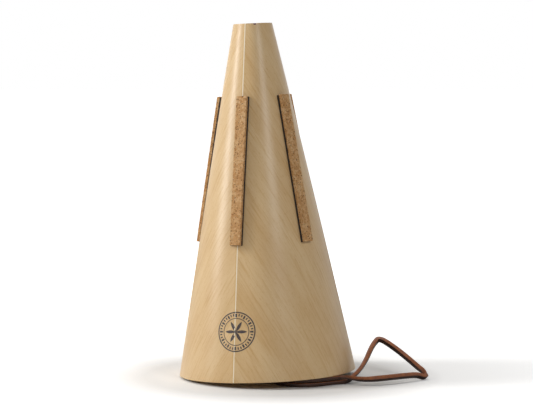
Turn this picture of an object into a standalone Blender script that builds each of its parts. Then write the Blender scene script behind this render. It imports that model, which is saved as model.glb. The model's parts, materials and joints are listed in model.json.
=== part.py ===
"""Horn practice mute: a maple veneer cone with cork strips, standing on its wide end and on the leather hand loop
that comes out from under it. Metres, +Z up. The floor is at Z = 0, the mute is seen from -Y, and an azimuth is
measured from that front towards +X."""

from math import acos, asin, atan, atan2, cos, hypot, pi, radians, sin, sqrt

import bmesh
import bpy
from mathutils import Matrix, Vector

MM = 0.001

# Clearance left between two pieces that are glued, or that lie on each other.
GAP = 0.3 * MM

# The cone, measured along its own axis. The bow is how far its side swells past a straight cone, as a share of
# the difference between the two end radii.
BASE_DIAMETER = 115.0 * MM
NARROW_DIAMETER = 25.2 * MM
CONE_HEIGHT = 227.0 * MM
CONE_BOW = 0.0436
SHELL_WALL = 1.3 * MM
LIP_ROUND = 0.6 * MM

# The butt joint of the veneer. Its two ends stay flat over this angle on either side, which leaves a low ridge.
SEAM_AZIMUTH = radians(-22)
SEAM_FLAT = radians(8)
BATTEN_WIDTH = 12.0 * MM
BATTEN_THICKNESS = 1.2 * MM

# A small half-round nick in the narrow end's edge.
NICK_AZIMUTH = radians(7)
NICK_RADIUS = 1.2 * MM

# The closed wide end: a plywood disc set up inside the cone, with a hoop glued round above it.
DISC_RECESS = 4.0 * MM
DISC_THICKNESS = 4.0 * MM
LACE_HOLE_DIAMETER = 9.0 * MM
HOOP_HEIGHT = 10.0 * MM
HOOP_WALL = 4.0 * MM

# The open narrow end: a turned ring inside the cone, which holds the tube that the air goes through.
THROAT_LENGTH = 12.0 * MM
TUBE_DIAMETER = 13.0 * MM
TUBE_WALL = 0.8 * MM
TUBE_LENGTH = 60.0 * MM
TUBE_SET_BACK = 0.5 * MM

# Cork strips, glued on by hand: where each one's middle is, and how far its top is turned towards +azimuth.
STRIP_LENGTH = 96.0 * MM
STRIP_WIDTH = 7.2 * MM
STRIP_THICKNESS = 3.0 * MM
STRIP_TOP = 180.0 * MM
STRIPS = (
    ("cork_strip_left", radians(-108.5), radians(0.0)),
    ("cork_strip_front", radians(-21.9), radians(0.8)),
    ("cork_strip_right", radians(44.6), radians(1.4)),
    ("cork_strip_rear_right", radians(124.0), radians(-0.6)),
    ("cork_strip_rear_left", radians(188.0), radians(0.4)),
)

# The square leather lace, as a round cord of the same width, and the knot inside that keeps it from pulling out.
LACE_WIDTH = 2.6 * MM
LACE_LIFT = 0.05 * MM
KNOT_DIAMETER = 13.0 * MM
KNOT_HEIGHT = 9.0 * MM

# The two strands of the lace lie one on the other and pass under the rim here. The loop swings about this place.
CROSSING = (47.0 * MM, -34.3 * MM)
# The side of the rim that lies on the two strands, which makes the whole mute lean.
RAISED_AZIMUTH = radians(57)

# Plain heights of the two strands where one lies on the other.
LOWER_Z = LACE_LIFT + LACE_WIDTH / 2
UPPER_Z = LOWER_Z + LACE_WIDTH + GAP

# Both strands' way from below the hole to the rim, in plan.
UNDER_BASE = (
    (0.8, -14.0),
    (1.8, -24.0),
    (5.0, -34.0),
    (11.5, -42.5),
    (20.5, -47.3),
    (29.5, -45.3),
    (37.5, -40.0),
    (43.2, -36.4),
)
# How each strand turns out of the hole, from where it leaves the disc.
UPPER_TURN = ((-0.2, -1.45, 7.4), (-0.1, -2.9, 5.5), (0.2, -6.0, 4.35))
LOWER_TURN = ((-0.2, 1.6, 7.4), (-0.1, 0.6, 4.0), (0.0, -2.2, 1.75), (0.2, -6.4, 1.35))

# The loop outside the rim, from the upper strand round to the lower one.
LOOP = (
    (51.5, -34.6, 4.25),
    (57.4, -36.7, 3.8),
    (63.7, -38.1, 3.7),
    (72.0, -36.9, 4.1),
    (80.2, -32.3, 4.2),
    (88.7, -26.2, 4.1),
    (96.4, -19.9, 3.5),
    (100.8, -17.3, 2.1),
    (102.2, -14.6, 2.6),
    (101.0, -12.6, 4.8),
    (97.9, -10.2, 7.1),
    (91.9, -5.5, 11.8),
    (86.0, -0.5, 16.1),
    (79.8, 3.5, 20.2),
    (75.3, 6.2, 22.6),
    (72.6, 7.0, 23.0),
    (70.4, 4.8, 21.4),
    (67.6, -1.0, 18.2),
    (64.0, -9.5, 12.4),
    (60.2, -18.5, 7.9),
    (55.8, -26.3, 4.6),
    (51.2, -31.4, 1.9),
)

# How finely round shapes are divided.
SIDES = 96
TUBE_SIDES = 48
CONE_ROWS = 8
LIP_STEPS = 3
KNOT_SIDES = 24
KNOT_STEPS = 8
LACE_STEP = 2 * LACE_WIDTH

BASE_RADIUS = BASE_DIAMETER / 2
NARROW_RADIUS = NARROW_DIAMETER / 2
TUBE_RADIUS = TUBE_DIAMETER / 2
DISC_TOP = DISC_RECESS + DISC_THICKNESS
HOOP_TOP = DISC_TOP + GAP + HOOP_HEIGHT
THROAT_BOTTOM = CONE_HEIGHT - THROAT_LENGTH

# The rim touches the floor on one side and lies on both strands on the other.
RIM_FOOT_RADIUS = BASE_RADIUS - LIP_ROUND
RIM_LIFT = 2 * LACE_WIDTH + 2 * GAP
LEAN = asin(RIM_LIFT / (2 * RIM_FOOT_RADIUS))

MAPLE = ((0.80, 0.63, 0.40), 0.38)
BIRCH_PLY = ((0.68, 0.50, 0.29), 0.55)
PADAUK = ((0.16, 0.030, 0.016), 0.40)
BRASS = ((0.80, 0.58, 0.26), 0.30)
CORK = ((0.53, 0.31, 0.15), 0.85)
LEATHER = ((0.11, 0.040, 0.016), 0.50)


def material(name, finish, metallic=0.0):
    """A Principled BSDF with one colour and roughness."""
    colour, roughness = finish
    made = bpy.data.materials.new(name)
    made.use_nodes = True
    shader = made.node_tree.nodes["Principled BSDF"]
    shader.inputs["Base Color"].default_value = (*colour, 1)
    shader.inputs["Roughness"].default_value = roughness
    shader.inputs["Metallic"].default_value = metallic
    return made


def empty(name, matrix, parent=None):
    """An empty at the given place in the world."""
    made = bpy.data.objects.new(name, None)
    made.empty_display_size = 0.01
    bpy.context.collection.objects.link(made)
    made.parent = parent
    bpy.context.view_layer.update()
    made.matrix_world = matrix
    bpy.context.view_layer.update()
    return made


def mesh_object(name, verts, faces, finish, parent, smooth_under=radians(30)):
    """A closed mesh with its faces turned outward, in its parent's own axes."""
    mesh = bpy.data.meshes.new(name)
    mesh.from_pydata(verts, [], faces)
    shape = bmesh.new()
    shape.from_mesh(mesh)
    bmesh.ops.recalc_face_normals(shape, faces=shape.faces)
    shape.to_mesh(mesh)
    shape.free()
    mesh.shade_smooth()
    mesh.set_sharp_from_angle(angle=smooth_under)
    mesh.materials.append(finish)
    made = bpy.data.objects.new(name, mesh)
    bpy.context.collection.objects.link(made)
    made.parent = parent
    return made


def around(azimuth):
    """The outward direction at an azimuth, square to the axis."""
    return Vector((sin(azimuth), -cos(azimuth), 0))


def cone_radius(z):
    """The cone's outer radius at a height along its axis, away from the seam."""
    share = z / CONE_HEIGHT
    narrowing = BASE_RADIUS - NARROW_RADIUS
    return BASE_RADIUS - narrowing * share + narrowing * CONE_BOW * share * (1 - share)


def cone_slope(z):
    """How fast the outer radius grows with height, which is below zero."""
    narrowing = BASE_RADIUS - NARROW_RADIUS
    return narrowing * (CONE_BOW * (1 - 2 * z / CONE_HEIGHT) - 1) / CONE_HEIGHT


def seam_rise(z, azimuth):
    """How far the flat ends of the veneer stand outside the round, at the seam and beside it."""
    off = abs((azimuth - SEAM_AZIMUTH + pi) % (2 * pi) - pi)
    if off >= SEAM_FLAT:
        return 0.0
    return cone_radius(z) * (1 / cos(SEAM_FLAT - off) - 1)


def wall(inset, z):
    """An outline point that follows the cone's wall, this far in from its outer face."""
    return (cone_radius(z) - inset, z, True)


def bore(radius, z):
    """An outline point on a true circle."""
    return (radius, z, False)


def ring_body(name, outline, finish, parent, sides=SIDES):
    """A ring whose section is the closed outline. Points that follow the wall also follow the seam's ridge."""
    verts = []
    for i in range(sides):
        azimuth = SEAM_AZIMUTH + 2 * pi * i / sides
        for radius, z, follows in outline:
            rise = seam_rise(z, azimuth) if follows else 0.0
            verts.append(around(azimuth) * (radius + rise) + Vector((0, 0, z)))
    count = len(outline)
    faces = []
    for i in range(sides):
        here = i * count
        there = (i + 1) % sides * count
        for j in range(count):
            after = (j + 1) % count
            faces.append((here + j, here + after, there + after, there + j))
    return mesh_object(name, verts, faces, finish, parent)


def block(name, rows, finish, parent):
    """A solid lofted along rows of points, each row being one closed section with the same number of points."""
    count = len(rows[0])
    verts = [point for row in rows for point in row]
    faces = [tuple(range(count)), tuple(range(len(verts) - count, len(verts)))]
    for i in range(len(rows) - 1):
        for j in range(count):
            after = (j + 1) % count
            faces.append((i * count + j, i * count + after, (i + 1) * count + after, (i + 1) * count + j))
    return mesh_object(name, verts, faces, finish, parent)


def spread(start, end, steps):
    """Evenly spaced values from start to end, both included."""
    return [start + (end - start) * i / steps for i in range(steps + 1)]


def cone_shell(finish, parent):
    """The bent veneer: open at both ends, with a rounded bottom edge and a nick in the top one."""
    outer = [wall(0, z) for z in spread(CONE_HEIGHT, LIP_ROUND, CONE_ROWS)]
    lip = [
        wall(LIP_ROUND * (1 - cos(turn)), LIP_ROUND * (1 - sin(turn)))
        for turn in spread(0, pi / 2, LIP_STEPS)[1:]
    ]
    inner = [wall(SHELL_WALL, z) for z in spread(0, CONE_HEIGHT, CONE_ROWS)]
    shell = ring_body("cone_shell", outer + lip + inner, finish, parent)
    shell.data.set_sharp_from_angle(angle=radians(12))

    bpy.ops.mesh.primitive_cylinder_add(vertices=24, radius=NICK_RADIUS, depth=4 * SHELL_WALL)
    cutter = bpy.context.object
    cutter.name = "nick_cutter"
    cutter.parent = parent
    outward = around(NICK_AZIMUTH)
    cutter.location = outward * (NARROW_RADIUS - SHELL_WALL / 2) + Vector((0, 0, CONE_HEIGHT))
    cutter.rotation_euler = outward.to_track_quat("Z", "Y").to_euler()
    cutter.hide_render = True
    cutter.display_type = "WIRE"
    cut = shell.modifiers.new("rim nick", "BOOLEAN")
    cut.operation = "DIFFERENCE"
    cut.object = cutter


def seam_batten(finish, parent):
    """The strip glued behind the joint, from the hoop up to the ring in the narrow end."""
    rows = []
    for z in spread(HOOP_TOP + GAP, THROAT_BOTTOM - GAP, CONE_ROWS):
        half = BATTEN_WIDTH / 2 / (cone_radius(z) - SHELL_WALL)
        turns = [SEAM_AZIMUTH + half * share for share in (-1, -0.5, 0, 0.5, 1)]
        face = SHELL_WALL + GAP
        front = [around(a) * (cone_radius(z) + seam_rise(z, a) - face) for a in turns]
        back = [point - point.normalized() * BATTEN_THICKNESS for point in front]
        lift = Vector((0, 0, z))
        rows.append([point + lift for point in front + back[::-1]])
    block("seam_batten", rows, finish, parent)


def base_disc(finish, parent):
    """The recessed plywood disc, with the round hole that the lace comes through."""
    inset = SHELL_WALL + GAP
    hole = LACE_HOLE_DIAMETER / 2
    outline = [bore(hole, DISC_RECESS), wall(inset, DISC_RECESS), wall(inset, DISC_TOP), bore(hole, DISC_TOP)]
    ring_body("base_disc", outline, finish, parent)


def base_hoop(finish, parent):
    """The bent hoop inside the cone that the disc is glued up against."""
    near = SHELL_WALL + GAP
    far = near + HOOP_WALL
    bottom = DISC_TOP + GAP
    outline = [wall(near, bottom), wall(near, HOOP_TOP), wall(far, HOOP_TOP), wall(far, bottom)]
    ring_body("base_hoop", outline, finish, parent)


def throat_ring(finish, parent):
    """The turned hardwood ring inside the narrow end, flush with the veneer's edge and bored for the tube."""
    inset = SHELL_WALL + GAP
    hole = TUBE_RADIUS + GAP
    outline = [
        bore(hole, THROAT_BOTTOM),
        wall(inset, THROAT_BOTTOM),
        wall(inset, CONE_HEIGHT),
        bore(hole, CONE_HEIGHT),
    ]
    ring_body("throat_ring", outline, finish, parent)


def inner_tube(finish, parent):
    """The thin tube from the ring down into the cone."""
    top = CONE_HEIGHT - TUBE_SET_BACK
    bottom = top - TUBE_LENGTH
    inside = TUBE_RADIUS - TUBE_WALL
    outline = [bore(TUBE_RADIUS, top), bore(TUBE_RADIUS, bottom), bore(inside, bottom), bore(inside, top)]
    ring_body("inner_tube", outline, finish, parent, TUBE_SIDES)


def reach_to_wall(at, inward):
    """How far it is from a point, along a direction, to where the cone's wall is one gap away."""
    reach = 0.0
    for _ in range(6):
        point = at + inward * reach
        azimuth = atan2(point.x, -point.y)
        reach += hypot(point.x, point.y) - cone_radius(point.z) - seam_rise(point.z, azimuth) - GAP
    return reach


def cork_strip(name, azimuth, turned, finish, parent):
    """A flat-faced strip of cork, whose inner face follows the cone. Its own axes are across, in, and along."""
    pitch = atan(-cone_slope(STRIP_TOP - STRIP_LENGTH / 2))
    middle = STRIP_TOP - STRIP_LENGTH * cos(pitch) / 2
    across = Vector((cos(azimuth), sin(azimuth), 0))
    along = around(azimuth) * -sin(pitch) + Vector((0, 0, cos(pitch)))
    inward = along.cross(across)
    turn = Matrix.Rotation(turned, 3, inward)
    across = turn @ across
    along = turn @ along
    origin = around(azimuth) * (cone_radius(middle) + seam_rise(middle, azimuth)) + Vector((0, 0, middle))

    outer_y = -(GAP + STRIP_THICKNESS)
    rows = []
    columns = spread(-STRIP_WIDTH / 2, STRIP_WIDTH / 2, 4)
    for z in spread(-STRIP_LENGTH / 2, STRIP_LENGTH / 2, 4):
        seats = [reach_to_wall(origin + across * x + along * z, inward) for x in columns]
        inner = [Vector((x, y, z)) for x, y in zip(columns, seats)]
        outer = [Vector((x, outer_y, z)) for x in reversed(columns)]
        rows.append(inner + outer)
    strip = block(name, rows, finish, parent)
    axes = Matrix((across, inward, along)).transposed()
    strip.location = origin
    strip.rotation_euler = axes.to_euler()


def smooth_route(points, step):
    """Points a step apart along the centripetal Catmull-Rom curve through the given ones, both ends included."""
    path = [points[0] * 2 - points[1], *points, points[-1] * 2 - points[-2]]
    dense = []
    for p0, p1, p2, p3 in zip(path, path[1:], path[2:], path[3:]):
        t1 = sqrt((p1 - p0).length)
        t2 = t1 + sqrt((p2 - p1).length)
        t3 = t2 + sqrt((p3 - p2).length)
        for i in range(20):
            t = t1 + (t2 - t1) * i / 20
            a1 = p0.lerp(p1, t / t1)
            a2 = p1.lerp(p2, (t - t1) / (t2 - t1))
            a3 = p2.lerp(p3, (t - t2) / (t3 - t2))
            dense.append(a1.lerp(a2, t / t2).lerp(a2.lerp(a3, (t - t1) / (t3 - t1)), (t - t1) / (t2 - t1)))
    dense.append(points[-1])
    reach = [0.0]
    for before, after in zip(dense, dense[1:]):
        reach.append(reach[-1] + (after - before).length)
    count = max(2, round(reach[-1] / step))
    found = []
    spot = 0
    for i in range(count + 1):
        wanted = reach[-1] * i / count
        while spot < len(dense) - 2 and reach[spot + 1] < wanted:
            spot += 1
        share = (wanted - reach[spot]) / (reach[spot + 1] - reach[spot])
        found.append(dense[spot].lerp(dense[spot + 1], share))
    return found


def lace_piece(name, points, finish, parent, round_ends=False):
    """One stretch of the lace, as a tube along a smooth route. Round ends are half balls about the end points."""
    radius = LACE_WIDTH / 2
    route = [(point, 1.0) for point in smooth_route(points, LACE_STEP)]
    if round_ends:
        first, second = route[0][0], route[1][0]
        last, before_last = route[-1][0], route[-2][0]
        turns = [radians(degrees) for degrees in (80, 55, 30)]
        back = (first - second).normalized() * radius
        on = (last - before_last).normalized() * radius
        route = (
            [(first + back * sin(turn), cos(turn)) for turn in turns]
            + route
            + [(last + on * sin(turn), cos(turn)) for turn in reversed(turns)]
        )
    curve = bpy.data.curves.new(name, "CURVE")
    curve.dimensions = "3D"
    curve.bevel_depth = radius
    curve.bevel_resolution = 2
    curve.use_fill_caps = True
    spline = curve.splines.new("POLY")
    spline.points.add(len(route) - 1)
    for spot, (point, share) in zip(spline.points, route):
        spot.co = (*point, 1)
        spot.radius = share
    curve.materials.append(finish)
    made = bpy.data.objects.new(name, curve)
    bpy.context.collection.objects.link(made)
    made.parent = parent
    made.matrix_parent_inverse = parent.matrix_world.inverted()
    return made


def lace_knot(finish, parent):
    """The knot above the disc: a squashed ball with a flat underside, wider than the hole."""
    bottom = DISC_TOP + GAP
    outline = []
    flat = LACE_HOLE_DIAMETER / 2 / (KNOT_DIAMETER / 2)
    for turn in spread(-acos(flat), pi / 2, KNOT_STEPS):
        outline.append((cos(turn) * KNOT_DIAMETER / 2, sin(turn)))
    low = outline[0][1]
    rise = KNOT_HEIGHT / (1 - low)
    verts = []
    for radius, height in outline[:-1]:
        for i in range(KNOT_SIDES):
            verts.append(around(2 * pi * i / KNOT_SIDES) * radius + Vector((0, 0, bottom + (height - low) * rise)))
    verts.append(Vector((0, 0, bottom + KNOT_HEIGHT)))
    faces = [tuple(range(KNOT_SIDES))]
    for row in range(len(outline) - 2):
        for i in range(KNOT_SIDES):
            here = row * KNOT_SIDES
            after = (i + 1) % KNOT_SIDES
            faces.append((here + i, here + after, here + KNOT_SIDES + after, here + KNOT_SIDES + i))
    last = (len(outline) - 2) * KNOT_SIDES
    for i in range(KNOT_SIDES):
        faces.append((last + i, last + (i + 1) % KNOT_SIDES, len(verts) - 1))
    mesh_object("lace_knot", verts, faces, finish, parent)


def lace(finish, mute, swivel, swing):
    """The knot, the two strands under the base that turn with it, and the loop that swings outside the rim."""
    lace_knot(finish, swivel)

    side_step = (LACE_WIDTH + GAP) / 2
    pivot = Vector((*CROSSING, 0))
    before_pivot = Vector((*UNDER_BASE[-1], 0)) * MM
    stop_short = (before_pivot - pivot).normalized() * (LACE_WIDTH / 2 + GAP)
    for name, side, turn, z in (
        ("lace_tail_upper", -side_step, UPPER_TURN, UPPER_Z),
        ("lace_tail_lower", side_step, LOWER_TURN, LOWER_Z),
    ):
        height = Vector((0, 0, z))
        top = mute.matrix_world @ Vector((0, side, DISC_TOP))
        points = [top]
        points += [Vector(point) * MM for point in turn]
        points += [Vector((*point, 0)) * MM + height for point in UNDER_BASE]
        points.append(pivot + stop_short + height)
        lace_piece(name, points, finish, swivel)

    points = [pivot + Vector((0, 0, UPPER_Z))]
    points += [Vector(point) * MM for point in LOOP]
    points.append(pivot + Vector((0, 0, LOWER_Z)))
    lace_piece("hand_loop", points, finish, swing, round_ends=True)


def build():
    for old in list(bpy.data.objects):
        bpy.data.objects.remove(old, do_unlink=True)

    leather = material("leather", LEATHER)
    maple = material("maple veneer", MAPLE)
    plywood = material("birch plywood", BIRCH_PLY)
    cork = material("cork", CORK)

    raised = around(RAISED_AZIMUTH)
    tilt = Matrix.Rotation(LEAN, 4, raised.cross(Vector((0, 0, 1))))
    stand = Matrix.Translation((0, 0, RIM_FOOT_RADIUS * sin(LEAN))) @ tilt
    mute = empty("mute_axis", stand)
    swivel = empty("lace_swivel_axis", stand, mute)
    swing = empty("loop_swing_axis", Matrix.Translation((*CROSSING, 0)), swivel)

    cone_shell(maple, mute)
    seam_batten(maple, mute)
    base_disc(plywood, mute)
    base_hoop(plywood, mute)
    throat_ring(material("padauk", PADAUK), mute)
    inner_tube(material("brass", BRASS, metallic=1.0), mute)
    for name, azimuth, turned in STRIPS:
        cork_strip(name, azimuth, turned, cork, mute)
    lace(leather, mute, swivel, swing)


build()
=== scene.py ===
# %% [markdown]
# # A horn practice mute, finished and lit
#
# The mute is a long cone of bent maple veneer that goes into a horn's bell, where five strips of cork hold
# it. A leather lace comes out of its wide end as a hand loop. The shape and the moving bodies come packed,
# from another script. This one gives every piece its finish, and remakes the pieces whose photographed look
# needs finer meshes.

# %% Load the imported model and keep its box
import json
from math import acos, atan, cos, hypot, pi, radians, sin, sqrt

import bmesh
import bpy
from mathutils import Matrix, Vector, noise


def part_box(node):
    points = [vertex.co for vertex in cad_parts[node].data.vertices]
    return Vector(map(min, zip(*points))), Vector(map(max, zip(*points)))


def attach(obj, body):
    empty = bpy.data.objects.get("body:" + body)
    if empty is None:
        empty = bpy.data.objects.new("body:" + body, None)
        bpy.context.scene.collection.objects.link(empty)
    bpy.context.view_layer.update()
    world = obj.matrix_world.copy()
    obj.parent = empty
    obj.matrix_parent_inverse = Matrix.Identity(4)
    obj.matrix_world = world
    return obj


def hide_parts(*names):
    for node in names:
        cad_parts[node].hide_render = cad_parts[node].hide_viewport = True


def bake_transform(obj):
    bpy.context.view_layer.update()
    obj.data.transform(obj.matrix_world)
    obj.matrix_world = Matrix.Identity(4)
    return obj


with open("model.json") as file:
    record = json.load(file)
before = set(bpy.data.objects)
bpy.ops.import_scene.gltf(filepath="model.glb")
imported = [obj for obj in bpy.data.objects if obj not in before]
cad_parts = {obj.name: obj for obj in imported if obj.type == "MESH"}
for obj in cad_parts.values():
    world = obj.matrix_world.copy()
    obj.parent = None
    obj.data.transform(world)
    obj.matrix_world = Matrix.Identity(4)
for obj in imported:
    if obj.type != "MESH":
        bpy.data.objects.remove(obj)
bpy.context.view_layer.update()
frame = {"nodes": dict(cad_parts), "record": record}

# %% [markdown]
# ## Sizes
#
# Everything is in metres, except where a list is said to be in millimetres. An azimuth is an angle round
# the cone, from the side that faces the camera towards +X. The mute leans a little, because its rim lies on
# the lace, so its own axis is read from the joint that turns the lace about it.

# %% The cone and its own axes
MM = 0.001
BASE_RADIUS = 57.5 * MM
NARROW_RADIUS = 12.6 * MM
CONE_HEIGHT = 227.0 * MM
CONE_BOW = 0.0436
SHELL_WALL = 1.3 * MM
LIP_ROUND = 0.6 * MM
SEAM_AZIMUTH = radians(-22)
SEAM_FLAT = radians(8)

swivel = next(joint for joint in frame["record"]["behaviour"]["joints"] if joint["name"] == "lace_swivel")
axis = Vector(swivel["axis"]).normalized()
lean = Vector((0, 0, 1)).rotation_difference(axis).to_matrix().to_4x4()
mute = Matrix.Translation(swivel["pos_m"]) @ lean


def around(azimuth):
    """The outward direction at an azimuth, square to the cone's axis."""
    return Vector((sin(azimuth), -cos(azimuth), 0))


def cone_radius(z):
    """The cone's outer radius at a height along its axis, away from the seam."""
    share = z / CONE_HEIGHT
    narrowing = BASE_RADIUS - NARROW_RADIUS
    return BASE_RADIUS - narrowing * share + narrowing * CONE_BOW * share * (1 - share)


def past_seam(azimuth):
    """The signed angle from the seam, between minus and plus half a turn."""
    return (azimuth - SEAM_AZIMUTH + pi) % (2 * pi) - pi


def seam_rise(z, azimuth):
    """How far the veneer's flat ends stand outside the round, at the seam and beside it."""
    off = abs(past_seam(azimuth))
    if off >= SEAM_FLAT:
        return 0.0
    return cone_radius(z) * (1 / cos(SEAM_FLAT - off) - 1)


def on_cone(z, azimuth, out=0.0):
    """A point of the world on the cone's outer face, or this far out from it."""
    radius = cone_radius(z) + seam_rise(z, azimuth) + out
    return mute @ (around(azimuth) * radius + Vector((0, 0, z)))


def spread(start, end, steps):
    """Evenly spaced values from start to end, both included."""
    return [start + (end - start) * i / steps for i in range(steps + 1)]


print("lean:", round(acos(axis.z) * 180 / pi, 2), "degrees")

# %% [markdown]
# ## Helpers for meshes and finishes
#
# A material is a tree of nodes. One helper adds a node, sets its options and joins its inputs, so that each
# finish below reads as a short list of what the real surface has.

# %% Small helpers


def linear(code):
    """An sRGB hex colour as the linear values that a shader works in."""
    channels = [int(code[i:i + 2], 16) / 255 for i in (1, 3, 5)]
    return (*[c / 12.92 if c <= 0.04045 else ((c + 0.055) / 1.055) ** 2.4 for c in channels], 1.0)


def add(tree, kind, inputs=None, **settings):
    """A node of this kind, with its settings, and each input given a value or another node's output."""
    node = tree.nodes.new(kind)
    for name, value in settings.items():
        setattr(node, name, value)
    for name, value in (inputs or {}).items():
        if isinstance(value, bpy.types.NodeSocket):
            tree.links.new(value, node.inputs[name])
        else:
            node.inputs[name].default_value = value
    return node


def finish(name, **sockets):
    """A new material, its tree and its Principled shader with these sockets set."""
    made = bpy.data.materials.new(name)
    made.use_nodes = True
    shader = made.node_tree.nodes["Principled BSDF"]
    for socket, value in sockets.items():
        shader.inputs[socket.replace("_", " ")].default_value = value
    return made, made.node_tree, shader


def ramp(tree, factor, *stops):
    """A colour ramp through (position, hex colour) stops."""
    node = add(tree, "ShaderNodeValToRGB", {"Fac": factor})
    bar = node.color_ramp.elements
    while len(bar) < len(stops):
        bar.new(0.5)
    for element, (position, code) in zip(bar, stops):
        element.position = position
        element.color = linear(code)
    return node.outputs["Color"]


def stretched_noise(tree, vector, size, detail=3.0, roughness=0.5):
    """Noise whose blotches have these real sizes in metres along the vector's own axes."""
    scaled = add(tree, "ShaderNodeVectorMath", {0: vector, 1: [1 / s for s in size]}, operation="MULTIPLY")
    made = add(tree, "ShaderNodeTexNoise", {"Vector": scaled.outputs[0], "Scale": 1.0, "Detail": detail,
                                            "Roughness": roughness})
    return made.outputs["Fac"]


def mixed(tree, factor, low, high, blend="MIX"):
    """Two colours mixed by a factor."""
    inputs = {"Factor": factor, "A": low, "B": high}
    node = add(tree, "ShaderNodeMix", inputs, data_type="RGBA", blend_type=blend)
    return node.outputs["Result"]


def mesh_piece(name, verts, faces, material, smooth_under=radians(35)):
    """A mesh object in world metres, with its faces turned outward and one material."""
    mesh = bpy.data.meshes.new(name)
    mesh.from_pydata([tuple(v) for v in verts], [], faces)
    shape = bmesh.new()
    shape.from_mesh(mesh)
    bmesh.ops.recalc_face_normals(shape, faces=shape.faces)
    shape.to_mesh(mesh)
    shape.free()
    mesh.shade_smooth()
    mesh.set_sharp_from_angle(angle=smooth_under)
    mesh.materials.append(material)
    made = bpy.data.objects.new(name, mesh)
    bpy.context.collection.objects.link(made)
    return made


# %% [markdown]
# ## Camera
#
# The photograph was taken from a mute's length above the floor and about a metre and a half away, with a long
# lens. A long lens keeps the cone's sides nearly straight and its two ends nearly flat.

# %% Set the camera
CAMERA_PLACE = (-0.735 * MM, -1.5, 0.23331)
CAMERA_DOWN = 0.0815
CAMERA_LENS = 156.36

camera_data = bpy.data.cameras.new("camera")
camera_data.lens = CAMERA_LENS
camera_data.sensor_width = 36.0
camera_data.sensor_fit = "HORIZONTAL"
camera = bpy.data.objects.new("camera", camera_data)
camera.location = CAMERA_PLACE
camera.rotation_euler = (pi / 2 - CAMERA_DOWN, 0, 0)
bpy.context.collection.objects.link(camera)
bpy.context.scene.camera = camera
print("camera lens:", CAMERA_LENS, "mm")

# %% [markdown]
# ## The lace
#
# The hand loop is one square leather lace. It comes out of the hole in the wide end, runs under the rim as
# two strands that lie one on the other, and goes round as a loop that stands on its own stiffness, with a
# sharp fold at its top and another where it touches the floor. A square section is swept along the route.
# Outside the rim it is rolled about the route, so that one edge stands up and two faces show. It is a
# little slimmer up to where it clears the cone, which leaves it room to swing. The route's points are
# listed in millimetres.

# %% The lace's route, from the hole round the loop and back
LACE_WIDTH = 2.6 * MM
CROSSING = (47.0, -34.3)
LOWER_Z = 1.35
UPPER_Z = 4.25
UNDER_BASE = (
    (0.8, -14.0),
    (1.8, -24.0),
    (5.0, -34.0),
    (11.5, -42.5),
    (20.5, -47.3),
    (29.5, -45.3),
    (37.5, -40.0),
    (43.2, -36.4),
)
UPPER_TURN = ((-0.2, -1.45, 10.9), (-0.2, -1.45, 7.4), (-0.1, -2.9, 5.5), (0.2, -6.0, 4.35))
LOWER_TURN = ((-0.2, 1.6, 10.9), (-0.2, 1.6, 7.4), (-0.1, 0.6, 4.0), (0.0, -2.2, 1.75), (0.2, -6.4, 1.35))
LOOP = (
    (51.5, -34.6, 4.25),
    (57.4, -36.7, 3.8),
    (63.7, -38.1, 3.7),
    (72.0, -36.9, 4.1),
    (80.2, -32.3, 4.2),
    (88.7, -26.2, 4.1),
    (96.4, -19.9, 3.5),
    (100.8, -17.3, 2.1),
    (102.2, -14.6, 2.6),
    (101.0, -12.6, 4.8),
    (97.9, -10.2, 7.1),
    (91.9, -5.5, 11.8),
    (86.0, -0.5, 16.1),
    (79.8, 3.5, 20.2),
    (75.3, 6.2, 22.6),
    (72.6, 7.0, 23.0),
    (70.4, 4.8, 21.4),
    (67.6, -1.0, 18.2),
    (64.0, -9.5, 12.4),
    (60.2, -18.5, 7.9),
    (55.8, -26.3, 4.6),
    (51.2, -31.4, 1.9),
)

route = [*UPPER_TURN]
route += [(x, y, UPPER_Z) for x, y in UNDER_BASE]
route += [(*CROSSING, UPPER_Z), *LOOP, (*CROSSING, LOWER_Z)]
route += [(x, y, LOWER_Z) for x, y in reversed(UNDER_BASE)]
route += reversed(LOWER_TURN)
route = [Vector(point) * MM for point in route]


CURVE_PARTS = 20


def smooth_route(points, step):
    """Points a step apart along the centripetal Catmull-Rom curve through the given ones."""
    path = [points[0] * 2 - points[1], *points, points[-1] * 2 - points[-2]]
    dense = []
    for p0, p1, p2, p3 in zip(path, path[1:], path[2:], path[3:]):
        t1 = sqrt((p1 - p0).length)
        t2 = t1 + sqrt((p2 - p1).length)
        t3 = t2 + sqrt((p3 - p2).length)
        for i in range(CURVE_PARTS):
            t = t1 + (t2 - t1) * i / CURVE_PARTS
            a1 = p0.lerp(p1, t / t1)
            a2 = p1.lerp(p2, (t - t1) / (t2 - t1))
            a3 = p2.lerp(p3, (t - t2) / (t3 - t2))
            b1 = a1.lerp(a2, t / t2)
            b2 = a2.lerp(a3, (t - t1) / (t3 - t1))
            dense.append(b1.lerp(b2, (t - t1) / (t2 - t1)))
    dense.append(points[-1])
    reach = [0.0]
    for before, after in zip(dense, dense[1:]):
        reach.append(reach[-1] + (after - before).length)
    count = max(2, round(reach[-1] / step))
    found = []
    spot = 0
    for i in range(count + 1):
        wanted = reach[-1] * i / count
        while spot < len(dense) - 2 and reach[spot + 1] < wanted:
            spot += 1
        share = (wanted - reach[spot]) / (reach[spot + 1] - reach[spot])
        found.append(dense[spot].lerp(dense[spot + 1], share))
    return found


LACE_STEP = 0.8 * MM
centreline = smooth_route(route, LACE_STEP)

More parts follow.
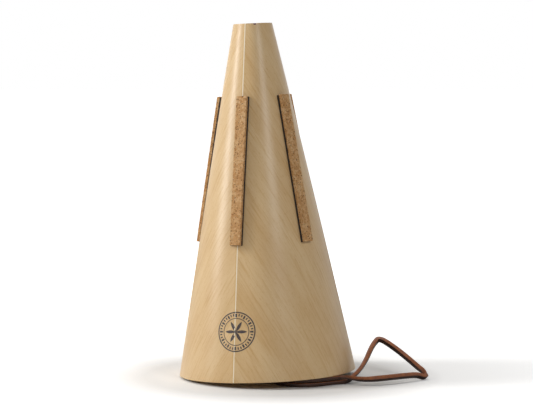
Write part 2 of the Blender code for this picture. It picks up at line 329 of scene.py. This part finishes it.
# %% Sweep the square section along the route
LOOP_ROLL = radians(42)
STANDING_ROLL = radians(20)
STANDING_Z = 6.5 * MM
LOOP_SWELL = 1.15
ROOT_SIZE = 0.92
ROLL_FROM_X = 53 * MM
SWELL_FROM_X = 63 * MM
CORNER = 0.3 * MM
CORNER_STEPS = 2
SETTLE = 8
NEARLY_UPRIGHT = 0.2


def square_section(half, corner):
    """A square outline with rounded corners, about the origin."""
    outline = []
    for quarter in range(4):
        turn = pi / 4 + quarter * pi / 2
        reach = (half - corner) * sqrt(2)
        centre = Vector((cos(turn), sin(turn))) * reach
        for bend in spread(turn - pi / 4, turn + pi / 4, CORNER_STEPS):
            outline.append(centre + Vector((cos(bend), sin(bend))) * corner)
    return outline


def settled(values):
    """The values with each one evened out with its neighbours along the lace."""
    last = len(values) - 1
    evened = []
    for i in range(len(values)):
        near = [values[min(max(i + k, 0), last)] for k in range(-SETTLE, SETTLE + 1)]
        evened.append(sum(near) / len(near))
    return evened


def swept(name, path, section, material, rolls, sizes):
    """A closed tube of this section along a path, kept upright and rolled about the path."""
    verts = []
    for i, spot in enumerate(path):
        ahead = (path[min(i + 1, len(path) - 1)] - path[max(i - 1, 0)]).normalized()
        side = ahead.cross(Vector((0, 0, 1)))
        if side.length < NEARLY_UPRIGHT:
            side = ahead.cross(Vector((0, 1, 0)))
        side.normalize()
        up = side.cross(ahead)
        across = (side * cos(rolls[i]) + up * sin(rolls[i])) * sizes[i]
        over = (up * cos(rolls[i]) - side * sin(rolls[i])) * sizes[i]
        verts += [spot + across * point.x + over * point.y for point in section]
    count = len(section)
    faces = [tuple(range(count)), tuple(range(len(verts) - count, len(verts)))]
    for i in range(len(path) - 1):
        for j in range(count):
            after = (j + 1) % count
            faces.append((i * count + j, i * count + after, (i + 1) * count + after, (i + 1) * count + j))
    return mesh_piece(name, verts, faces, material)


# %% Dark waxed leather
# The lace is dark brown waxed leather. Its faces turned up are painted a lighter orange-brown, as painted
# light, and its faces turned down are painted nearly black, as painted shade.
leather, tree, shader = finish("waxed dyed leather", Roughness=0.5, Coat_Weight=0.12, Coat_Roughness=0.35,
                               Specular_IOR_Level=0.3)
place = add(tree, "ShaderNodeTexCoord").outputs["Object"]
streaks = stretched_noise(tree, place, (2.5 * MM, 2.5 * MM, 2.5 * MM))
pores = stretched_noise(tree, place, (0.35 * MM, 0.35 * MM, 0.35 * MM))
painted_top_light = ramp(tree, streaks, (0.3, "#7C4019"), (0.7, "#A05C2A"))
painted_under_shade = ramp(tree, streaks, (0.3, "#1E0D06"), (0.7, "#3A1D0E"))
painted_light_mask = add(tree, "ShaderNodeAttribute", attribute_name="painted_top_light").outputs["Fac"]
leather_with_painted_light = mixed(tree, painted_light_mask, painted_under_shade, painted_top_light)
tree.links.new(leather_with_painted_light, shader.inputs["Base Color"])
grain = add(tree, "ShaderNodeBump", {"Height": pores, "Strength": 0.25, "Distance": 0.1 * MM})
tree.links.new(grain.outputs["Normal"], shader.inputs["Normal"])

# %% Lay the lace along its route


def roll_at(point):
    """How far the lace is rolled about its route at a point of it."""
    if point.x <= ROLL_FROM_X:
        return 0.0
    return STANDING_ROLL if point.z > STANDING_Z else LOOP_ROLL


PAINTED_LIGHT_SLOPE = 1.8
PAINTED_LIGHT_START = 0.25
rolls = settled([roll_at(point) for point in centreline])
sizes = settled([LOOP_SWELL if point.x > SWELL_FROM_X else ROOT_SIZE for point in centreline])
lace = swept("hand_lace", centreline, square_section(LACE_WIDTH / 2, CORNER), leather, rolls, sizes)
# Painted light and shade: the more a point's normal points up, the more of the lighter colour it gets.
painted_light_marks = lace.data.attributes.new("painted_top_light", "FLOAT", "POINT")
for vert in lace.data.vertices:
    painted_light_marks.data[vert.index].value = min(1.0, max(0.0, vert.normal.z * PAINTED_LIGHT_SLOPE - PAINTED_LIGHT_START))
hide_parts("lace_tail_upper", "lace_tail_lower", "hand_loop")
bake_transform(lace)
print("lace faces:", len(lace.data.polygons))

# %% [markdown]
# ## The knot inside
#
# The lace's two ends are tied together above the disc, in a knot too wide for the hole. It is a trefoil, the
# closed form of an overhand knot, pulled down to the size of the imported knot.

# %% Tie the knot
knot_low, knot_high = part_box("lace_knot")
knot_middle = Vector([(a + b) / 2 for a, b in zip(knot_low, knot_high)])
knot_half = Vector([(b - a) / 2 for a, b in zip(knot_low, knot_high)])
KNOT_POINTS = 120
KNOT_MARGIN = 0.52 * LACE_WIDTH
knot_path = []
for i in range(KNOT_POINTS):
    turn = 2 * pi * i / KNOT_POINTS
    loop = Vector((sin(turn) + 2 * sin(2 * turn), cos(turn) - 2 * cos(2 * turn), -sin(3 * turn)))
    reach = knot_half - Vector((1, 1, 1)) * KNOT_MARGIN
    knot_path.append(knot_middle + Vector((loop.x / 3 * reach.x, loop.y / 3 * reach.y, loop.z * reach.z)))
knot_curve = bpy.data.curves.new("overhand_knot", "CURVE")
knot_curve.dimensions = "3D"
knot_curve.bevel_depth = LACE_WIDTH / 2
knot_curve.bevel_resolution = 3
spline = knot_curve.splines.new("POLY")
spline.points.add(KNOT_POINTS - 1)
for spot, point in zip(spline.points, knot_path):
    spot.co = (*point, 1)
spline.use_cyclic_u = True
knot_curve.materials.append(leather)
knot = bpy.data.objects.new("overhand_knot", knot_curve)
bpy.context.collection.objects.link(knot)
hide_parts("lace_knot")
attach(knot, "lace_tails")
print("knot:", KNOT_POINTS, "points")

# %% [markdown]
# ## Maple veneer
#
# The cone was cut flat, as a sector of a ring, and rolled up. Grain is straight in the flat sheet, so on
# the cone it runs up the back and slants away from the seam in front. Each point of the cone is therefore
# given its place in the unrolled sheet as its UV, and the grain follows those lines with no stretching.

# %% The veneer's finish
SEAM_HIGHLIGHT_HALF_WIDTH = 0.32 * MM
GLUE_PLACE = -0.75 * MM
GLUE_HALF_WIDTH = 0.4 * MM
GLUE_SHARE = 0.35

veneer, tree, shader = finish("varnished maple veneer", Roughness=0.5, Coat_Weight=0.75, Coat_Roughness=0.32,
                              Coat_IOR=1.5, Specular_IOR_Level=0.1)
sheet = add(tree, "ShaderNodeUVMap", uv_map="sheet").outputs["UV"]
clouds = stretched_noise(tree, sheet, (60 * MM, 14 * MM, 1.0), detail=2.0)
figure = stretched_noise(tree, sheet, (28 * MM, 1.3 * MM, 1.0), detail=4.0, roughness=0.6)
fibres = stretched_noise(tree, sheet, (6 * MM, 0.28 * MM, 1.0), detail=2.0)
fleck = stretched_noise(tree, sheet, (2.6 * MM, 0.42 * MM, 1.0), detail=1.0)
body_colour = ramp(tree, clouds, (0.25, "#D4B17E"), (0.75, "#E1C496"))
late_wood = ramp(tree, figure, (0.50, "#FFFFFF"), (0.70, "#F1E6D4"))
flecked = ramp(tree, fleck, (0.60, "#FFFFFF"), (0.76, "#ECDDC6"))
fibre_tone = ramp(tree, fibres, (0.3, "#FAF6F0"), (0.7, "#FFFFFF"))
tone = mixed(tree, 1.0, body_colour, late_wood, "MULTIPLY")
tone = mixed(tree, 0.8, tone, flecked, "MULTIPLY")
tone = mixed(tree, 1.0, tone, fibre_tone, "MULTIPLY")
# The joint's ridge has a painted highlight, a pale line, with a thread of yellowed glue on its left.
joint = add(tree, "ShaderNodeUVMap", uv_map="joint").outputs["UV"]
off_joint = add(tree, "ShaderNodeSeparateXYZ", {"Vector": joint}).outputs["X"]
seam_highlight_band = {0: off_joint, 1: 0.0, 2: SEAM_HIGHLIGHT_HALF_WIDTH}
painted_seam_highlight = add(tree, "ShaderNodeMath", seam_highlight_band, operation="COMPARE").outputs[0]
glue_band = {0: off_joint, 1: GLUE_PLACE, 2: GLUE_HALF_WIDTH}
glue = add(tree, "ShaderNodeMath", glue_band, operation="COMPARE").outputs[0]
glue = add(tree, "ShaderNodeMath", {0: glue, 1: GLUE_SHARE}, operation="MULTIPLY").outputs[0]
tone = mixed(tree, glue, tone, linear("#C79A4E"))
# Painted highlight: the pale line along the joint's ridge.
tone = mixed(tree, painted_seam_highlight, tone, linear("#F4E8CF"))
tree.links.new(tone, shader.inputs["Base Color"])
grain = add(tree, "ShaderNodeBump", {"Height": figure, "Strength": 0.12, "Distance": 0.05 * MM})
tree.links.new(grain.outputs["Normal"], shader.inputs["Normal"])

# %% Roll up the cone
CONE_SIDES = 360
CONE_ROWS = 40
LIP_STEPS = 4
NICK_AZIMUTH = radians(7)
NICK_RADIUS = 1.2 * MM

sector_sine = (BASE_RADIUS - NARROW_RADIUS) / hypot(BASE_RADIUS - NARROW_RADIUS, CONE_HEIGHT)


def in_sheet(z, off_seam):
    """Where a point of the cone lies in the unrolled sheet. The grain runs along the first coordinate."""
    slant = cone_radius(z) / sector_sine
    from_back = (off_seam - pi if off_seam >= 0 else off_seam + pi) * sector_sine
    return slant * cos(from_back), slant * sin(from_back)


outline = [(0.0, z) for z in spread(CONE_HEIGHT, LIP_ROUND, CONE_ROWS)]
outline += [
    (LIP_ROUND * (1 - cos(turn)), LIP_ROUND * (1 - sin(turn))) for turn in spread(0, pi / 2, LIP_STEPS)[1:]
]
outline += [(SHELL_WALL, z) for z in spread(0, CONE_HEIGHT, CONE_ROWS)]


def nick_depth(azimuth):
    """How far the narrow end's edge is cut down at an azimuth."""
    off = (azimuth - NICK_AZIMUTH) * NARROW_RADIUS
    return sqrt(max(0.0, NICK_RADIUS ** 2 - off ** 2))


# The columns run from half a turn left of the seam to half a turn right of it, with two columns on the seam.
HAIR = 1e-6
WELD = 0.01 * MM
verts = []
uvs = []
joint_uvs = []
for i in range(CONE_SIDES + 2):
    half = CONE_SIDES // 2
    off_seam = pi * (i - half) / half - HAIR if i <= half else pi * (i - 1 - half) / half + HAIR
    azimuth = SEAM_AZIMUTH + off_seam
    for inset, z in outline:
        height = z
        if z > CONE_HEIGHT - NICK_RADIUS:
            height = min(z, CONE_HEIGHT - nick_depth((azimuth + pi) % (2 * pi) - pi))
        verts.append(on_cone(height, azimuth, -inset))
        uvs.append(in_sheet(z, off_seam))
        joint_uvs.append((off_seam * cone_radius(z), z))
count = len(outline)
faces = []
for i in range(CONE_SIDES + 1):
    here = i * count
    there = here + count
    for j in range(count):
        after = (j + 1) % count
        faces.append((here + j, here + after, there + after, there + j))
cone = mesh_piece("veneer_cone", verts, faces, veneer, smooth_under=radians(12))

for layer_name, places in (("sheet", uvs), ("joint", joint_uvs)):
    layer = cone.data.uv_layers.new(name=layer_name)
    for corner in cone.data.loops:
        layer.data[corner.index].uv = places[corner.vertex_index]

shape = bmesh.new()
shape.from_mesh(cone.data)
bmesh.ops.remove_doubles(shape, verts=shape.verts, dist=WELD)
shape.to_mesh(cone.data)
shape.free()
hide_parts("cone_shell")
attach(cone, "mute_body")
print("veneer cone:", len(cone.data.polygons), "faces")

# %% [markdown]
# ## Cork strips
#
# Sheet cork is made of ground grains of bark pressed with glue. Up close it is a mosaic of tan grains a
# millimetre or two across, with dark bits of bark and small pits. The strips are cut with a knife, so their
# edges are crisp but crumbly. Each strip is a finer copy of its imported solid, with worn edges and pits in
# its mesh, and stands on a black layer that takes up the innermost part of the packed thickness. The black
# layer is painted shade, for the dark gap between the cork and the cone.

# %% The cork's finish
cork, tree, shader = finish("pressed ground cork", Roughness=0.88, Specular_IOR_Level=0.25)
place = add(tree, "ShaderNodeTexCoord").outputs["Object"]
grains = add(tree, "ShaderNodeTexVoronoi", {"Vector": place, "Scale": 1 / (1.3 * MM), "Randomness": 1.0})
grain_value = add(tree, "ShaderNodeSeparateColor", {"Color": grains.outputs["Color"]}).outputs["Red"]
bark = stretched_noise(tree, place, (0.9 * MM, 0.9 * MM, 0.9 * MM), detail=2.0, roughness=0.6)
large = stretched_noise(tree, place, (9 * MM, 9 * MM, 9 * MM), detail=1.0)
tone = ramp(tree, grain_value, (0.0, "#C3925E"), (0.55, "#D2A674"), (1.0, "#DFB98A"))
dark_bits = ramp(tree, bark, (0.60, "#000000"), (0.66, "#FFFFFF"))
tone = mixed(tree, dark_bits, tone, linear("#5E3C22"))
tone = mixed(tree, 0.4, tone, ramp(tree, large, (0.3, "#E4D2BC"), (0.7, "#FFFFFF")), "MULTIPLY")
tree.links.new(tone, shader.inputs["Base Color"])
crumb = add(tree, "ShaderNodeBump", {"Height": bark, "Strength": 0.5, "Distance": 0.25 * MM})
tree.links.new(crumb.outputs["Normal"], shader.inputs["Normal"])

# %% Wear the strips' edges
STRIPS = (
    "cork_strip_left",
    "cork_strip_front",
    "cork_strip_right",
    "cork_strip_rear_right",
    "cork_strip_rear_left",
)
STRIP_THICKNESS = 3.0 * MM
SHADE_LAYER = 0.8 * MM
SHADE_OVERHANG = 0.4 * MM
EDGE_WEAR = 0.28 * MM
PIT_SIZE = 1.4 * MM
PIT_DEPTH = 0.16 * MM
LONGEST_EDGE = 1.6 * MM
SPLIT_ROUNDS = 6

# The black layer sticks out a little past the cork, as a painted shade line along both sides of each strip.
painted_shade_black, tree, shader = finish("painted shade under cork", Roughness=0.55)
place = add(tree, "ShaderNodeTexCoord").outputs["Object"]
shade_mottle = stretched_noise(tree, place, (1.5 * MM, 1.5 * MM, 1.5 * MM))
tree.links.new(ramp(tree, shade_mottle, (0.3, "#160D08"), (0.7, "#2E1C12")), shader.inputs["Base Color"])
faces_out = {mount["name"]: mount for mount in frame["record"]["mounts"]}

for strip_name in STRIPS:
    packed = frame["nodes"][strip_name]
    mount = faces_out[strip_name.replace("strip", "face")]
    outward = Vector(mount["axis"]).normalized()
    face_middle = Vector(mount["pos_m"])
    across = outward.cross(axis).normalized()

    # Painted shade: the black layer copies the strip's inner part and overhangs both sides.
    bed = bmesh.new()
    bed.from_mesh(packed.data)
    for vert in bed.verts:
        depth = (face_middle - vert.co).dot(outward)
        if depth < SHADE_LAYER:
            vert.co -= outward * (STRIP_THICKNESS - SHADE_LAYER - depth)
        aside = (vert.co - face_middle).dot(across)
        vert.co += across * SHADE_OVERHANG * (1 if aside > 0 else -1)
    mesh = bpy.data.meshes.new(strip_name + "_painted_shade")
    bed.to_mesh(mesh)
    bed.free()
    mesh.materials.clear()
    mesh.materials.append(painted_shade_black)
    shade_bed = bpy.data.objects.new(strip_name + "_painted_shade", mesh)
    bpy.context.collection.objects.link(shade_bed)
    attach(shade_bed, "mute_body")

    shape = bmesh.new()
    shape.from_mesh(packed.data)
    bmesh.ops.remove_doubles(shape, verts=shape.verts, dist=WELD)
    for vert in shape.verts:
        if (face_middle - vert.co).dot(outward) > STRIP_THICKNESS / 2:
            vert.co += outward * SHADE_LAYER
    bmesh.ops.dissolve_limit(shape, angle_limit=radians(3), verts=shape.verts, edges=shape.edges)
    sharp = [edge for edge in shape.edges if edge.is_manifold and edge.calc_face_angle() > radians(40)]
    bmesh.ops.bevel(shape, geom=sharp, offset=EDGE_WEAR, segments=2, affect="EDGES", profile=0.5)
    bmesh.ops.triangulate(shape, faces=shape.faces)
    for _ in range(SPLIT_ROUNDS):
        long_edges = [edge for edge in shape.edges if edge.calc_length() > LONGEST_EDGE]
        if not long_edges:
            break
        bmesh.ops.subdivide_edges(shape, edges=long_edges, cuts=1)
        bmesh.ops.triangulate(shape, faces=shape.faces)
    shape.normal_update()
    moves = []
    for vert in shape.verts:
        crumble = noise.noise(vert.co / PIT_SIZE)
        moves.append(-vert.normal * PIT_DEPTH * max(0.0, crumble) * 2)
    for vert, move in zip(shape.verts, moves):
        vert.co += move
    mesh = bpy.data.meshes.new(strip_name + "_worn")
    shape.to_mesh(mesh)
    shape.free()
    mesh.shade_smooth()
    mesh.set_sharp_from_angle(angle=radians(50))
    mesh.materials.append(cork)
    worn = bpy.data.objects.new(strip_name + "_worn", mesh)
    bpy.context.collection.objects.link(worn)
    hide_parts(strip_name)
    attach(worn, "mute_body")
    print(strip_name, len(mesh.polygons), "faces")

# %% [markdown]
# ## The turned ring, the tube and the pieces inside
#
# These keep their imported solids. They show only through the two ends, so a good finish is enough for each.

# %% Dark hardwood for the narrow end's ring
padauk, tree, shader = finish("oiled padauk", Roughness=0.38, Coat_Weight=0.3, Coat_Roughness=0.25)
place = add(tree, "ShaderNodeTexCoord").outputs["Object"]
pores = stretched_noise(tree, place, (0.4 * MM, 0.4 * MM, 5 * MM))
tree.links.new(ramp(tree, pores, (0.3, "#4A1710"), (0.7, "#6E2A1C")), shader.inputs["Base Color"])

# %% Birch plywood for the disc and the hoop
plywood, tree, shader = finish("sanded birch plywood", Roughness=0.6, Specular_IOR_Level=0.3)
place = add(tree, "ShaderNodeTexCoord").outputs["Object"]
plies = add(tree, "ShaderNodeTexWave", {"Vector": place, "Scale": 1 / (1.3 * MM) / 20, "Distortion": 0.4},
            wave_type="BANDS", bands_direction="Z")
fibres = stretched_noise(tree, place, (9 * MM, 0.5 * MM, 9 * MM))
tone = ramp(tree, fibres, (0.3, "#C79F68"), (0.7, "#DDBB86"))
layers = ramp(tree, plies.outputs["Fac"], (0.2, "#B48A58"), (0.8, "#FFFFFF"))
tone = mixed(tree, 0.35, tone, layers, "MULTIPLY")
tree.links.new(tone, shader.inputs["Base Color"])

# %% Bare veneer for the batten behind the seam
bare, tree, shader = finish("bare maple veneer", Roughness=0.62, Specular_IOR_Level=0.3)
place = add(tree, "ShaderNodeTexCoord").outputs["Object"]
fibres = stretched_noise(tree, place, (0.5 * MM, 0.5 * MM, 12 * MM))
tree.links.new(ramp(tree, fibres, (0.3, "#D2AE7A"), (0.7, "#E4C898")), shader.inputs["Base Color"])

# %% Drawn brass for the tube
brass, tree, shader = finish("drawn brass", Metallic=1.0, Roughness=0.28)
place = add(tree, "ShaderNodeTexCoord").outputs["Object"]
tarnish = stretched_noise(tree, place, (6 * MM, 6 * MM, 20 * MM))
tree.links.new(ramp(tree, tarnish, (0.3, "#B58A45"), (0.7, "#D6B36C")), shader.inputs["Base Color"])

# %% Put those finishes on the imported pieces
for node_name, material in (
    ("throat_ring", padauk),
    ("inner_tube", brass),
    ("base_disc", plywood),
    ("base_hoop", plywood),
    ("seam_batten", bare),
):
    for slot in frame["nodes"][node_name].material_slots:
        slot.material = material
    print(node_name, "is", material.name)

# %% [markdown]
# ## The ink stamp
#
# A round stamp in black ink sits low on the seam. It carries a plain design here: two rings, a row of ticks
# like a dial's, and a six-petalled rosette drawn with compasses. Each shape is laid out flat, in
# millimetres, and then bent onto the cone a hair above the varnish.

# %% Draw the stamp
STAMP_Z = 32.0 * MM
STAMP_AZIMUTH = radians(-21.25)
STAMP_RADIUS = 12.8
RINGS = ((12.0, STAMP_RADIUS), (8.3, 8.8))
INK_LIFT = 0.03 * MM
TICKS = 36
TICK_OUTER = 11.5
LONG_TICK = (radians(3.2), 9.3)
SHORT_TICK = (radians(2.2), 9.9)
PETALS = 6
PETAL = 7.4
PETAL_STEPS = 14

ink, tree, shader = finish("stamped black ink", Roughness=0.6, Coat_Weight=0.4, Coat_Roughness=0.25)
place = add(tree, "ShaderNodeTexCoord").outputs["Object"]
patchy = stretched_noise(tree, place, (1.2 * MM, 1.2 * MM, 1.2 * MM))
tree.links.new(ramp(tree, patchy, (0.35, "#24181A"), (0.75, "#4A3830")), shader.inputs["Base Color"])


def stamped(x, y):
    """A point of the flat design, in millimetres, on the cone."""
    z = STAMP_Z + y * MM * cos(atan((BASE_RADIUS - NARROW_RADIUS) / CONE_HEIGHT))
    azimuth = STAMP_AZIMUTH + x * MM / cone_radius(z)
    return on_cone(z, azimuth, INK_LIFT)


def ring_patch(inner, outer, start=0.0, end=2 * pi, steps=96):
    """A band between two radii of the design, over an arc."""
    rows = []
    for turn in spread(start, end, steps):
        across, up = cos(turn), sin(turn)
        rows.append((stamped(inner * across, inner * up), stamped(outer * across, outer * up)))
    return rows


patches = [ring_patch(*ring) for ring in RINGS]
for tick in range(TICKS):
    middle = 2 * pi * tick / TICKS
    half, inner = SHORT_TICK if tick % 3 else LONG_TICK
    patches.append(ring_patch(inner, TICK_OUTER, middle - half, middle + half, 2))
for petal in range(PETALS):
    lie = petal * 2 * pi / PETALS
    rows = []
    for share in spread(0, 1, PETAL_STEPS):
        along = PETAL * share
        bulge = sqrt(max(0.0, PETAL ** 2 - (along - PETAL / 2) ** 2)) - PETAL * sqrt(3) / 2
        left = Vector((along * cos(lie) - bulge * sin(lie), along * sin(lie) + bulge * cos(lie)))
        right = Vector((along * cos(lie) + bulge * sin(lie), along * sin(lie) - bulge * cos(lie)))
        rows.append((stamped(*left), stamped(*right)))
    patches.append(rows)

verts = []
faces = []
for rows in patches:
    start = len(verts)
    for pair in rows:
        verts += pair
    for i in range(len(rows) - 1):
        here = start + 2 * i
        faces.append((here, here + 1, here + 3, here + 2))
stamp = mesh_piece("ink_stamp", verts, faces, ink)
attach(stamp, "mute_body")
print("ink stamp:", len(faces), "faces")

# %% [markdown]
# ## Floor, world and lamps
#
# The photograph is a plain product picture with a white floor that runs out of view. A tall soft lamp on
# the left puts a pale gloss along the varnish. One above and behind throws the shadow forward, under the
# front edge, and a small one on the right puts a weaker gloss right of the seam. The world adds a weak fill
# from everywhere.

# %% The white floor
FLOOR_HALF = 6.0
SHADOW_END = 0.08
NEAR_GLOW_END = 0.115
NEAR_GLOW = 0.35
FAR_GLOW_START = 0.11
FAR_GLOW_END = 0.5
FAR_GLOW = 0.7

floor_material, tree, shader = finish("white paper sweep", Roughness=0.9, Specular_IOR_Level=0.1)
shader.inputs["Base Color"].default_value = linear("#F4F3F1")
place = add(tree, "ShaderNodeTexCoord").outputs["Object"]
fibre = stretched_noise(tree, place, (2 * MM, 2 * MM, 2 * MM))
paper = add(tree, "ShaderNodeBump", {"Height": fibre, "Strength": 0.05, "Distance": 0.1 * MM})
tree.links.new(paper.outputs["Normal"], shader.inputs["Normal"])
# Away from the mute the sweep is seen as plain white. Round the mute it glows less, so that its shadow stays.
away = add(tree, "ShaderNodeVectorMath", {0: place}, operation="LENGTH").outputs["Value"]
near_span = {"Value": away, "From Min": SHADOW_END, "From Max": NEAR_GLOW_END, "To Max": NEAR_GLOW}
far_span = {"Value": away, "From Min": FAR_GLOW_START, "From Max": FAR_GLOW_END, "To Max": FAR_GLOW}
near_glow = add(tree, "ShaderNodeMapRange", near_span).outputs[0]
far_glow = add(tree, "ShaderNodeMapRange", far_span).outputs[0]
glow = add(tree, "ShaderNodeMath", {0: near_glow, 1: far_glow}, operation="ADD").outputs[0]
seen = add(tree, "ShaderNodeLightPath").outputs["Is Camera Ray"]
glow = add(tree, "ShaderNodeMath", {0: seen, 1: glow}, operation="MULTIPLY")
emission = add(tree, "ShaderNodeEmission", {"Strength": glow.outputs[0]})
both = add(tree, "ShaderNodeAddShader", {0: shader.outputs[0], 1: emission.outputs[0]})
tree.links.new(both.outputs[0], tree.nodes["Material Output"].inputs["Surface"])
bpy.ops.mesh.primitive_grid_add(x_subdivisions=4, y_subdivisions=4, size=2 * FLOOR_HALF)
floor = bpy.context.object
floor.name = "floor"
floor.data.materials.append(floor_material)
print("floor:", 2 * FLOOR_HALF, "m across")

# %% The world
WORLD_FILL = 0.12
world = bpy.data.worlds.new("studio")
world.use_nodes = True
bpy.context.scene.world = world
tree = world.node_tree
tree.nodes.clear()
rays = add(tree, "ShaderNodeLightPath").outputs
seen = rays["Is Camera Ray"]
for kind in ("Is Transmission Ray", "Is Glossy Ray"):
    seen = add(tree, "ShaderNodeMath", {0: seen, 1: rays[kind]}, operation="MAXIMUM").outputs[0]
levels = {"Value": seen, "To Min": WORLD_FILL, "To Max": 1.0}
strength = add(tree, "ShaderNodeMapRange", levels).outputs["Result"]
background = add(tree, "ShaderNodeBackground", {"Color": (1, 1, 1, 1), "Strength": strength})
add(tree, "ShaderNodeOutputWorld", {"Surface": background.outputs[0]})
print("world fill:", WORLD_FILL)

# %% The lamps
LAMP_AIM = Vector((0, 0, 0.11))


def softbox(name, azimuth, distance, height, size, power):
    """An area lamp at an azimuth about the mute, turned to face its middle and not seen itself."""
    data = bpy.data.lights.new(name, "AREA")
    data.shape = "RECTANGLE"
    data.size, data.size_y = size
    data.energy = power
    lamp = bpy.data.objects.new(name, data)
    lamp.location = around(azimuth) * distance + Vector((0, 0, height))
    lamp.rotation_euler = (LAMP_AIM - lamp.location).to_track_quat("-Z", "Y").to_euler()
    lamp.visible_camera = False
    bpy.context.collection.objects.link(lamp)
    print(name, power, "W")


softbox("key_softbox", radians(-84), 0.6, 0.4, (0.13, 0.5), 3.2)
softbox("top_softbox", radians(-160), 0.35, 1.0, (0.5, 0.5), 3.4)
softbox("right_softbox", radians(28), 0.6, 0.42, (0.16, 0.2), 0.9)

bpy.context.scene.view_settings.view_transform = "Standard"
